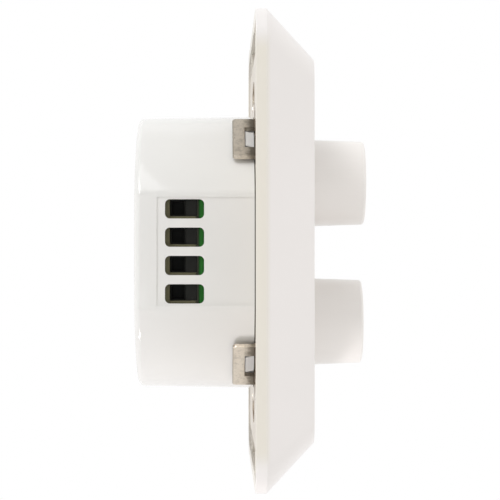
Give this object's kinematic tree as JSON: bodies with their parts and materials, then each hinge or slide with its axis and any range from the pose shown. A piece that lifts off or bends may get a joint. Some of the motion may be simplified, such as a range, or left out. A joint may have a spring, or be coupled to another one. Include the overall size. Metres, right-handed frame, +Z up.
{
  "type": "double dimmer switch",
  "caption": "Flush wall dimmer with push-and-turn knobs, a bevelled square cover frame, a steel support plate and a round housing with side terminals.",
  "frame": {"origin": "centre of the back face of the support plate, midway between the box screws", "axes": "+Z up, +X to the right seen from the room, +Y into the wall, so the knobs face -Y"},
  "size_m": [0.0824, 0.0423, 0.0824],
  "materials": {
    "frame_white": "moulded, satin gloss",
    "centre_white": "moulded, satin gloss",
    "knob_white": "moulded, satin gloss",
    "housing_white": "moulded, fine matt",
    "plate_steel": "zinc plated, rolled",
    "insulating_film": "smooth film",
    "board_green": "solder mask",
    "terminal_beige": "moulded",
    "clamp_black": "moulded",
    "component_black": "moulded epoxy",
    "component_yellow": "moulded",
    "component_brown": "moulded",
    "can_aluminium": "drawn",
    "core_iron": "pressed powder",
    "winding_copper": "enamelled wire",
    "control_black": "moulded",
    "rotor_white": "moulded",
    "wafer_brown": "paper laminate",
    "shaft_grey": "moulded",
    "spring_steel": "drawn wire",
    "nut_brass": "nickel plated",
    "washer_steel": "stamped"
  },
  "bodies": {
    "base": {"centre_plate": "centre_white", "circuit_board": "board_green", "controller_chip": "component_black", "cover_frame": "frame_white", "film_capacitor": "component_yellow", "fuse": "component_brown", "housing": "housing_white", "insulating_sheet": "insulating_film", "left_transistor": "component_black", "lock_washers": "washer_steel", "lower_choke_core": "core_iron", "lower_choke_winding": "winding_copper", "lower_pot_case": "control_black", "lower_return_spring": "spring_steel", "lower_switch_base": "control_black", "lower_track_wafer": "wafer_brown", "right_transistor": "component_black", "shaft_nuts": "nut_brass", "supply_capacitor": "can_aluminium", "support_plate": "plate_steel", "terminal_block": "terminal_beige", "upper_choke_core": "core_iron", "upper_choke_winding": "winding_copper", "upper_pot_case": "control_black", "upper_return_spring": "spring_steel", "upper_switch_base": "control_black", "upper_track_wafer": "wafer_brown", "wire_clamps": "clamp_black"},
    "upper_rotor": {"upper_rotor": "rotor_white"},
    "upper_control": {"upper_knob": "knob_white", "upper_shaft": "shaft_grey"},
    "upper_plunger": {"upper_plunger": "rotor_white"},
    "lower_rotor": {"lower_rotor": "rotor_white"},
    "lower_control": {"lower_knob": "knob_white", "lower_shaft": "shaft_grey"},
    "lower_plunger": {"lower_plunger": "rotor_white"}
  },
  "joints": [
    {"name": "upper_turn", "type": "hinge", "parent": "base", "child": "upper_rotor", "pos_m": [0, 0, 0.01305], "axis": [0, 1, 0], "range_deg": [-140, 140]},
    {"name": "upper_push", "type": "slide", "parent": "upper_rotor", "child": "upper_control", "axis": [0, 1, 0], "range_m": [0, 0.0008], "stiffness_N_per_m": 3000},
    {"name": "upper_plunge", "type": "slide", "parent": "base", "child": "upper_plunger", "axis": [0, 1, 0], "range_m": [0, 0.0008], "deforming": ["upper_return_spring"]},
    {"name": "lower_turn", "type": "hinge", "parent": "base", "child": "lower_rotor", "pos_m": [0, 0, -0.01305], "axis": [0, 1, 0], "range_deg": [-140, 140]},
    {"name": "lower_push", "type": "slide", "parent": "lower_rotor", "child": "lower_control", "axis": [0, 1, 0], "range_m": [-0.0005, 0.0003], "stiffness_N_per_m": 3000},
    {"name": "lower_plunge", "type": "slide", "parent": "base", "child": "lower_plunger", "axis": [0, 1, 0], "range_m": [-0.0005, 0.0003], "deforming": ["lower_return_spring"]}
  ],
  "couplings": [
    {"joint": "upper_plunge", "follows": "upper_push", "ratio": 1},
    {"joint": "lower_plunge", "follows": "lower_push", "ratio": 1}
  ]
}
